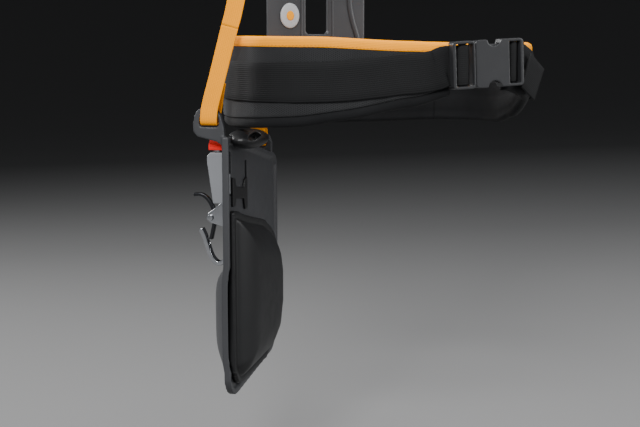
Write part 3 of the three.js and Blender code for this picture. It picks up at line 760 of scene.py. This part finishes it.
def build_belt_webbing():
    inward = buckle_fold(BUCKLE_CENTRE, -1, BUCKLE_END, BUCKLE_BAR, BUCKLE_PLUG_SLOT,
                         PLUG_CROSSBAR_SHARE * BUCKLE_PLUG_SLOT, BUCKLE_TILT)
    right = belt_tape("belt_webbing_right_tape", belt_angles(112, 274.5, 4), "black",
                      extra_after=inward)
    settle(right, "harness", ["belt_webbing_right"])
    middle = belt_tape("belt_webbing_lumbar_tape", belt_angles(63, 111.9, 4), "black")
    settle(middle, "harness", ["belt_webbing_lumbar"])
    outward = buckle_fold(BUCKLE_CENTRE, 1, BUCKLE_END, BUCKLE_BAR, BUCKLE_SOCKET_SLOT,
                          SOCKET_CROSSBAR_SHARE * BUCKLE_SOCKET_SLOT, BUCKLE_TILT)[::-1]
    left = belt_tape("belt_webbing_left_tape", belt_angles(320, 421.5, 4), "black",
                     extra_before=[*outward, belt_point(314.5, 3.7, 18.8)])
    settle(left, "left_wing", ["belt_webbing_left"])
    hang = [(315.5, 7.2, 11), (318.5, 7.6, 8), (321.5, 8.3, 4), (325, 9.5, 0), (328.5, 11.2, -4.5)]
    tail = belt_tape("webbing_tail_tape", [], "black", width=38,
                     extra_before=smooth_path([belt_point(*place) for place in hang], 3))
    settle(tail, "left_wing", ["webbing_tail"])


# ------------------------------------------------------------------ hip plate

def plate_face(x, z):
    """How far out the plate's inner face stands: flat above, bulging outward below."""
    lengthwise = min(abs((x - 62) / 80), 1)
    upright = min(abs((z + 248) / 56), 1)
    return PLATE_INNER + PLATE_BULGE * (1 - lengthwise ** 3) * (1 - upright ** 5)


def plate_top(x):
    line = between([(-17, -56), (20, -58), (150, -86)], x)
    return line if x <= 150 else -104 + 18 * math.sqrt(clamp(1 - ((x - 150) / 27) ** 2))


def plate_bottom(x):
    if x < 8:
        return -306 - 26 * math.sqrt(clamp(1 - ((8 - x) / 25) ** 2))
    if x <= 141:
        return between([(8, -332), (141, -321)], x)
    return -262 - 59 * math.sqrt(clamp(1 - ((x - 141) / 36) ** 2))


def edge_distance(x, z, outline):
    """Distance from a point to the nearest point of an outline, in millimetres."""
    return min(math.hypot(x - a, z - b) for a, b in outline)


def columns_between(start, end, spacing):
    """Places across a rounded outline, closer together at both ends."""
    count = round((end - start) / spacing)
    return [start + (end - start) * (0.5 - 0.5 * math.cos(math.pi * (0.04 + 0.92 * index / count)))
            for index in range(count + 1)]


def plate_outline(bottom, top, start, end):
    places = spread(start, end, 60)
    points = [(x, top(x)) for x in places] + [(x, bottom(x)) for x in places]
    for x in (start, end):
        points += [(x, z) for z in spread(bottom(x), top(x), 60)]
    return points


def two_sided(name, columns, bottom, top, rows, outer, inner, finish):
    """A shell over columns of heights, from an outer and an inner height field."""
    rings = []
    for x in columns:
        heights = [bottom(x) + (top(x) - bottom(x)) * (0.5 - 0.5 * math.cos(math.pi * index / (rows - 1)))
                   for index in range(rows)]
        ring = [plate_point(x, outer(x, z), z) for z in heights]
        ring += [plate_point(x, inner(x, z), z) for z in reversed(heights)]
        rings.append(ring)
    return loft(name, rings, finish)


def prism(name, outline, start, end, turn):
    """A plain solid from an outline, used only as a cutter or a blank for mouldings."""
    verts = [turn(a, b, start) for a, b in outline] + [turn(a, b, end) for a, b in outline]
    count = len(outline)
    faces = [tuple(range(count)), tuple(range(count, 2 * count))]
    for index in range(count):
        beside = (index + 1) % count
        faces.append((index, beside, count + beside, count + index))
    return make_object(name, verts, faces, None, None, smooth=False)


def rounded_outline(low, high, radius, corner_steps=5):
    corners = [(high[0] - radius, low[1] + radius, -90), (high[0] - radius, high[1] - radius, 0),
               (low[0] + radius, high[1] - radius, 90), (low[0] + radius, low[1] + radius, 180)]
    points = []
    for x, y, start in corners:
        for step in range(corner_steps + 1):
            angle = math.radians(start + 90 * step / corner_steps)
            points.append((x + radius * math.cos(angle), y + radius * math.sin(angle)))
    return points


def along_plate_x(a, b, place):
    return plate_point(place, a, b)


def along_plate_y(a, b, place):
    return plate_point(a, place, b)


def ear(name, outline, slot, start, end):
    blank = prism(name, outline, start, end, along_plate_x)
    boolean(blank, prism("slot", rounded_outline(*slot, 3), start - 4, end + 4, along_plate_x), "DIFFERENCE")
    return blank


def build_plate():
    outline = plate_outline(plate_bottom, plate_top, PLATE_FRONT, PLATE_REAR)

    def inner(x, z):
        return plate_face(x, z) - PLATE_RIM * clamp((8 - edge_distance(x, z, outline)) / 2.2)

    def outer(x, z):
        rounding = 1.2 * clamp(1 - edge_distance(x, z, outline) / 2) ** 2
        return plate_face(x, z) + PLATE_THICKNESS - rounding

    columns = columns_between(PLATE_FRONT, PLATE_REAR, 3)
    plate = two_sided("hip_plate_moulding", columns, plate_bottom, plate_top, 76, outer, inner, None)
    front = [(5, -74), (5, -54), (5.5, -46), (8.5, -35), (11, -30.5), (15, -28), (30, -27), (34, -29.5),
             (37, -35), (38.6, -45), (38, -51), (34, -56), (13, -61), (7.4, -65), (7, -74)]
    rear = [(5, -112), (5, -76), (8, -68), (12, -66), (33, -66), (37, -71), (34.5, -85), (30, -88),
            (12, -92), (7, -112)]
    front_ear = ear("front_ear", front, ((11, -46), (31.5, -35.5)), -14.3, -7.7)
    rear_ear = ear("rear_ear", rear, ((11, -81.5), (31, -72.5)), 165.7, 172.3)
    for piece in (front_ear, rear_ear):
        boolean(plate, piece, "UNION")
    for low, high in PLATE_SLOTS.values():
        opening = rounded_outline(low, high, SLOT_RADIUS)
        boolean(plate, prism("slot", opening, -20, 20, along_plate_y), "DIFFERENCE")
    soften(plate, 1.0, 3, 0.6)
    plate.data.materials.clear()
    plate.data.materials.append(MATERIALS["plate"])
    settle(plate, "hip_plate", ["hip_plate"])


def build_thigh_pad():
    front, rear = -9, 168
    top_line = [(front, -136), (0, -133), (44, -145), (107, -158), (140, -172), (160, -192), (rear, -222)]
    bottom_line = [(front, -300), (0, -318), (16, -323), (115, -320), (150, -304), (rear, -262)]

    def top(x):
        return eased(top_line, x, 6)

    def bottom(x):
        return eased(bottom_line, x, 6)

    outline = plate_outline(bottom, top, front, rear)
    back = PLATE_INNER - 3.2

    def face(x, z):
        distance = edge_distance(x, z, outline)
        flange = 3.2 * clamp(distance / 1.6) ** 0.5
        groove = 1.5 * math.exp(-((distance - 8) / 1.5) ** 2)
        dome = 15 * (1 - (1 - clamp((distance - 7.5) / 40)) ** 2.6) if distance > 7.5 else 0
        return back - flange - dome + groove

    def against_plate(x, z):
        return plate_face(x, z) - 0.5

    pad = two_sided("thigh_pad_cushion", columns_between(front, rear, 2.6), bottom, top, 84,
                    against_plate, face, "thigh")
    settle(pad, "hip_plate", ["thigh_pad"])


def build_plate_details():
    moulded("pivot_cover_rubber", "pivot_cover", "rubber", 0.9, 3)
    moulded("carrier_housing", "hook_carrier", "carrier", 0.7, 5)
    moulded("carrier_clip_moulding", "carrier_clip", "clip", 0.4, 2)
    for name, (low, high) in PLATE_SLOTS.items():
        # Painted shade: a thin black strip over each slot, so the slot reads dark as shade inside it would;
        # it is not a real part of the plate.
        border = rounded_outline((low[0] - 1.5, low[1] - 1.5), (high[0] + 1.5, high[1] + 1.5), SLOT_RADIUS)
        shade_strip = prism(f"slot_shade_strip_{name}", border, 7.55, 8.15, along_plate_y)
        shade_strip.data.materials.append(MATERIALS["clip"])
        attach(shade_strip, "hip_plate")


# ------------------------------------------------------------------ hook

def build_hook():
    moulded("snap_hook_body", "hook_body", "chrome", 0.45, 6)
    moulded("snap_hook_gate", "hook_gate", "dark_steel", 0.4, 4)
    moulded("gate_rivet_head", "gate_rivet", "chrome", 0.35, 3)
    moulded("swivel_pin_steel", "swivel_pin", "zinc", 0.4, 2)
    moulded("release_pin_steel", "release_pin", "zinc", 0.4, 2)
    moulded("release_strap_tape", "release_strap", "red", 0.4, 2)


# ------------------------------------------------------------------ buckles and locks

def build_buckles():
    for name in ("buckle_female", "buckle_male"):
        moulded(f"{name}_moulding", name, "buckle", 0.45, 4, 0.5)
    for name in ("chest_buckle_female", "chest_buckle_male", "ladder_lock_right", "ladder_lock_left"):
        moulded(f"{name}_moulding", name, "buckle", 0.45, 3, 0.4)


# ------------------------------------------------------------------ back frame

def ridge(name, points, width, height):
    """A moulded rib standing on the lumbar frame's front face, along points given as (x, z)."""
    path = smooth_path([(x, FRAME_FRONT_Y, z) for x, z in points], 3)
    rings = []
    count = len(path) - 1
    for index, (point, tangent) in enumerate(zip(path, tangents(path))):
        side = tangent.cross(Vector((0, -1, 0))).normalized()
        fade = math.sqrt(clamp(min(index, count - index) / 3))
        ring = []
        for step in range(9):
            angle = math.pi * step / 8
            lift = height * fade * math.sin(angle) ** 0.7
            ring.append((point + side * (width / 2) * math.cos(angle) + Vector((0, 0.4 - lift, 0))) * MM)
        rings.append(ring)
    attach(loft(name, rings, "frame"), "harness")


def oval_cap(name, centre, half_width, half_height, thickness, finish):
    """A low domed oval, facing forward."""
    rings = []
    for share, depth in ((0.98, 0.0), (1.0, 0.3), (0.97, 0.75), (0.86, 0.95), (0.5, 1.08), (0.05, 1.12)):
        rings.append([(centre + Vector((half_width * share * math.cos(angle), -thickness * depth,
                                        half_height * share * math.sin(angle)))) * MM
                      for angle in spread(0, 2 * math.pi, 41)[:-1]])
    obj = loft(name, rings, finish)
    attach(obj, "harness")
    return obj


def build_frame():
    moulded("lumbar_frame_moulding", "lumbar_frame", "frame", 0.9, 4, 0.4)
    moulded("upper_frame_moulding", "upper_frame", "frame", 0.9, 4, 0.4)
    moulded("height_button_cap", "height_button", "button", 0.4, 4)
    for number in range(1, 5):
        moulded(f"frame_screw_{number}_head", f"frame_screw_{number}", "zinc", 0.35, 2)
    badge = oval_cap("frame_badge_plate", Vector((-33.5, 135.7, 70.5)), 11.8, 14.8, 2.2, "badge")
    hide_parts("frame_badge")
    oval_cap("frame_badge_centre", Vector((-33.5, 133.3, 70.5)), 4.6, 5.6, 0.8, "button")
    ridge("lumbar_frame_rib", [(54, 14), (53, 42), (46, 66), (42, 92), (43, 150)], 7, 2.8)
    for side, name in ((-1, "right"), (1, "left")):
        edge = [(FRAME_MIDDLE_X + side * x, z) for x, z in ((20, 24), (19.5, 60), (19.5, 130), (22, 160))]
        ridge(f"lumbar_frame_lip_{name}", edge, 3.2, 1.4)


# ------------------------------------------------------------------ straps and upper soft goods

def plate_mm(x, y, z):
    return plate_point(x, y, z) / MM


def turning(start, end, begin=0.0, rate=1.0):
    """A strap's width direction that turns from start to end along its length."""
    return lambda share: start.lerp(end, clamp((share - begin) * rate)).normalized()


def build_front_strap():
    seam = Vector((-156.5, -41.7, 55))
    round_ring = [(-16.7, 18.7, -24), (-16.9, 20.4, -36), (-15.4, 21, -41.6), (-11.5, 21.2, -43.7),
                  (-7.0, 21, -41.2), (-5.9, 20.5, -35), (-6.6, 18.2, -27), (-10.5, 15, -14), (-13.2, 11.6, 0)]
    loop = [seam, (-168.2, -36.4, 6)] + [plate_mm(*place) for place in round_ring]
    piece = strap("front_load_strap_loop", loop, -PLATE_OUTWARD, "orange_strap", STRAP_WIDTH, 2)
    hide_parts("front_load_strap")
    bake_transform(piece)

    lock = FRAME_MIDDLE_X - LOCK_X
    rise = [seam, (-151.5, -44, 76), (-136, -54.5, 160), (lock - 0.5, -57, 186), (lock, -57, 199),
            (lock, -59.6, 205.4), (lock, -64, 206.6), (lock, -66, 200), (lock - 1, -67, 185),
            (lock - 4, -67, 155), (lock - 5, -66, 118)]
    across = turning(-PLATE_OUTWARD, Vector((1, 0, 0)))
    piece = strap("front_load_strap_rise", rise, across, "orange_strap", STRAP_WIDTH, 2.5)
    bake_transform(piece)


def build_rear_strap():
    seam = Vector((-75, 135.5, -40))
    round_ring = [(178, 23, -56), (175.8, 20.5, -70), (174.8, 20.6, -76.5), (171.5, 20.8, -79.6),
                  (167, 20.8, -79.4), (163.6, 20.5, -75.5), (163.4, 20.5, -66), (166.5, 21, -57),
                  (171, 22, -48)]
    loop = [seam] + [plate_mm(*place) for place in round_ring]
    piece = strap("rear_load_strap_loop", loop, PLATE_OUTWARD, "orange_strap", STRAP_WIDTH, 2)
    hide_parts("rear_load_strap")
    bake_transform(piece)

    rise = [seam, (-74, 135, -15), (-72.5, 134, 2), (-72, 134.6, 10), (-72, 137.5, 15.4), (-72, 142, 17.6),
            (-72, 144.6, 12), (-72.5, 144.8, 0), (-73, 141, -14), (-73.6, 138.2, -26)]
    across = turning(PLATE_OUTWARD, Vector((-1, 0, 0)), rate=2)
    piece = strap("rear_load_strap_rise", rise, across, "orange_strap", STRAP_WIDTH, 2)
    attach(piece, "harness")


def build_left_side_strap():
    lock = FRAME_MIDDLE_X + LOCK_X
    path = [(lock + 3, -66.5, 122), (lock + 2, -67, 160), (lock, -67, 186), (lock, -66, 200),
            (lock, -64, 206.6), (lock, -59.6, 205.4), (lock, -57, 199), (lock + 1.5, -56, 190),
            (142, -30, 178), (150, 30, 158), (130, 88, 144), (96, 121, 134), (80, 133, 133),
            (75.5, 137.5, 133), (72.5, 144, 133), (78, 146.2, 133), (88, 141, 133), (104, 129, 135)]
    across = turning(Vector((1, 0, 0)), UP, begin=0.2, rate=3.4)
    piece = strap("left_side_strap_tape", path, across, "black", STRAP_WIDTH, 2.5)
    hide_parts("left_side_strap")
    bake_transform(piece)


def build_lock_webbing():
    for name, side in (("right", -1), ("left", 1)):
        x = FRAME_MIDDLE_X + side * LOCK_X
        points = [(x, -62, 243), (x, -57, 236), (x, -57.2, 226), (x, -59.5, 219.6), (x, -63.5, 218.6),
                  (x, -65.8, 222), (x, -66.4, 230), (x, -67.6, 240), (x, -69.3, 256)]
        across = Vector((1, 0, 0))
        piece = strap(f"lock_webbing_{name}_tape", points, across, "black", STRAP_WIDTH, 2)
        settle(piece, "upper", [f"lock_webbing_{name}"])


def build_chest_strap():
    for name, side, body, slot, share in (
            ("right", -1, "upper", CHEST_SOCKET_SLOT, SOCKET_CROSSBAR_SHARE),
            ("left", 1, "chest_half", CHEST_PLUG_SLOT, PLUG_CROSSBAR_SHARE)):
        fold = buckle_fold(CHEST_CENTRE, side, CHEST_END, CHEST_BAR, slot, share * slot)[::-1]
        ends = [CHEST_CENTRE + Vector((side * x, y, 0))
                for x, y in ((40, 5.2), (60, 6), (90, 6.5), (131, 6.5))]
        piece = strap(f"chest_strap_{name}_tape", fold + ends, UP, "black", CHEST_WIDTH, 2)
        settle(piece, body, [f"chest_strap_{name}"])


def pad_ring(point, side, face, width, thickness, crown, groove):
    """One cross-section of a soft pad: round edges, a crowned outer face and a quilted inner face."""
    ring = []
    half = width / 2
    edge = thickness / 2 - 0.4
    for sign in (1, -1):
        for step in range(7):
            angle = math.radians(30 * step - 90 * sign)
            across = sign * (half - edge) + edge * math.cos(angle)
            ring.append((across, (thickness / 2 - 0.6) * math.sin(angle)))
        for step in spread(0.86 * sign, -0.86 * sign, 13):
            outer = thickness / 2 - 0.6 + crown * (1 - step * step)
            inner = 0.4 - thickness / 2 + groove * math.exp(-(abs(step) - 0.42) ** 2 / 0.004)
            ring.append((half * step * 0.9, outer if sign > 0 else inner))
    return [(point + side * across + face * out) * MM for across, out in ring]


def build_shoulder_pad(name, side_sign):
    middle = FRAME_MIDDLE_X
    points = [(middle + side_sign * x, y, z) for x, y, z in (
        (46, 134.5, 336), (50, 130, 372), (62, 108, 418), (80, 60, 447), (96, 4, 450), (112, -46, 418),
        (123, -68, 350), (127, -67, 280), (127, -62, 238))]
    path = smooth_path(points, 4)
    count = len(path) - 1
    body_rings, panel, tape, edges = [], [], [], ([], [])
    for index, (point, tangent) in enumerate(zip(path, tangents(path))):
        share = index / count
        wanted = Vector((1, side_sign * -0.12 * share, 0)).normalized()
        side = (wanted - tangent * wanted.dot(tangent)).normalized()
        face = side.cross(tangent).normalized()
        if face.dot(point - Vector((middle, 20, 300))) < 0:
            face = -face
        round_end = math.sqrt(clamp(min(index, count - index) / 5 + 0.12))
        width = 62 * (0.72 + 0.28 * round_end)
        thinning = 0.55 + 0.45 * round_end
        swell = 0.5 * noise.noise(point * 0.03)
        body_rings.append(pad_ring(point, side, face, width, 11 * thinning, 0.5 + swell, 1.6))
        if 2 <= index <= count - 2:
            lift = face * (5.3 * thinning + 0.55 + swell)
            tape.append([(point + lift + side * a + face * b * 0.6) * MM
                         for a, b in rounded_section(25, 1.6)])
            for edge, sign in zip(edges, (-1, 1)):
                edge.append((point + side * sign * (width / 2 - 5) + lift * 0.93, face))
    pad = loft(f"shoulder_pad_{name}_cushion", body_rings, "mesh")
    settle(pad, "upper", [f"shoulder_pad_{name}"])
    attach(loft(f"shoulder_pad_{name}_tape", tape, "black"), "upper")
    for edge, label in zip(edges, ("inner", "outer")):
        line = stitch_line(f"shoulder_pad_{name}_stitches_{label}", edge, "thread_orange")
        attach(line, "upper")


def build_back_pad():
    """A quilted cushion in front of the upper frame, with soft corners."""
    rings = []
    low, high = 181, 327
    rows = 44
    for row in range(rows + 1):
        share = row / rows
        z = low + (high - low) * (0.5 - 0.5 * math.cos(math.pi * share))
        end = min(z - low, high - z)
        corner = 13 - math.sqrt(max(13 ** 2 - max(13 - end, 0) ** 2, 0))
        half = 63.5 - corner
        channel = 1.8 * math.exp(-(((z - low) % 36.5 - 18.25) / 2.6) ** 2) if end > 14 else 0
        swell = math.sin(math.pi * clamp(end / 26) / 2) ** 0.6
        ring = []
        for across in spread(-1, 1, 25):
            edge = math.sin(math.pi * clamp((1 - abs(across)) * 2.6) / 2) ** 0.6
            depth = 6 + 15.5 * swell * edge - channel * edge
            ring.append(mm(FRAME_MIDDLE_X + half * across, 144 - depth, z))
        for across in spread(1, -1, 7):
            ring.append(mm(FRAME_MIDDLE_X + half * across * 0.985, 144.2, z))
        rings.append(ring)
    settle(loft("back_pad_cushion", rings, "mesh_flat"), "upper", ["back_pad"])


# ------------------------------------------------------------------ stage

def build_stage():
    """A paper sweep, grey in front and nearly black behind, that turns up into a backdrop."""
    profile = [(-8, 0), (4, 0)]
    profile += [(4 + 3 * math.sin(angle), 3 - 3 * math.cos(angle))
                for angle in spread(0, math.pi / 2, 16)[1:]]
    profile.append((7, 9))
    verts = [(x, y, z + FLOOR_Z) for y, z in profile for x in (-12, 12)]
    faces = [(2 * row, 2 * row + 1, 2 * row + 3, 2 * row + 2) for row in range(len(profile) - 1)]
    paper = Shader("grey_paper", 0.9)
    depth = paper.remap(paper.split(paper.coordinates())[1], -0.5, 5.5, 0, 1)
    greys = [(place, (grey, grey, grey)) for place, grey in ((0.0, 0.17), (0.35, 0.065), (0.7, 0.001))]
    colours = paper.ramp(depth, greys)
    sweep = make_object("paper_sweep", verts, faces, None, None)
    sweep.data.materials.append(paper.finish(colours))


def build_lights():
    world = bpy.data.worlds.new("studio")
    bpy.context.scene.world = world
    world.use_nodes = True
    world.node_tree.nodes["Background"].inputs["Color"].default_value = (0.86, 0.88, 0.92, 1)
    world.node_tree.nodes["Background"].inputs["Strength"].default_value = 0.55

    lights = (("key", (-1.5, -2.1, 1.7), 1.0, 125), ("fill", (1.9, -1.5, 0.6), 1.3, 40),
              ("rim", (-1.4, 1.5, 1.0), 0.7, 60), ("top", (0.4, 0.2, 2.2), 1.1, 58))
    for name, place, size, power in lights:
        data = bpy.data.lights.new(name, "AREA")
        data.size = size
        data.energy = power
        lamp = place_in_scene(name, data)
        lamp.location = place
        lamp.rotation_euler = (Vector((0, 0, 0)) - Vector(place)).to_track_quat("-Z", "Y").to_euler()


def build_camera():
    """Level with the belt's top, in front of the wearer's right side, looking slightly down."""
    turn = math.radians(20)
    tilt = math.radians(8.336)
    data = bpy.data.cameras.new("camera")
    data.sensor_width = 36
    data.lens = 65.9
    camera = place_in_scene("camera", data)
    camera.location = mm(-478.5, -1191.3, 40)
    forward = Vector((math.sin(turn) * math.cos(tilt), math.cos(turn) * math.cos(tilt), -math.sin(tilt)))
    camera.rotation_euler = forward.to_track_quat("-Z", "Y").to_euler()
    bpy.context.scene.camera = camera


build_camera()
build_stage()
build_lights()
build_belt()
build_belt_webbing()
build_buckles()
build_plate()
build_thigh_pad()
build_plate_details()
build_hook()
build_frame()
build_front_strap()
build_rear_strap()
build_left_side_strap()
build_lock_webbing()
build_chest_strap()
build_shoulder_pad("right", -1)
build_shoulder_pad("left", 1)
build_back_pad()
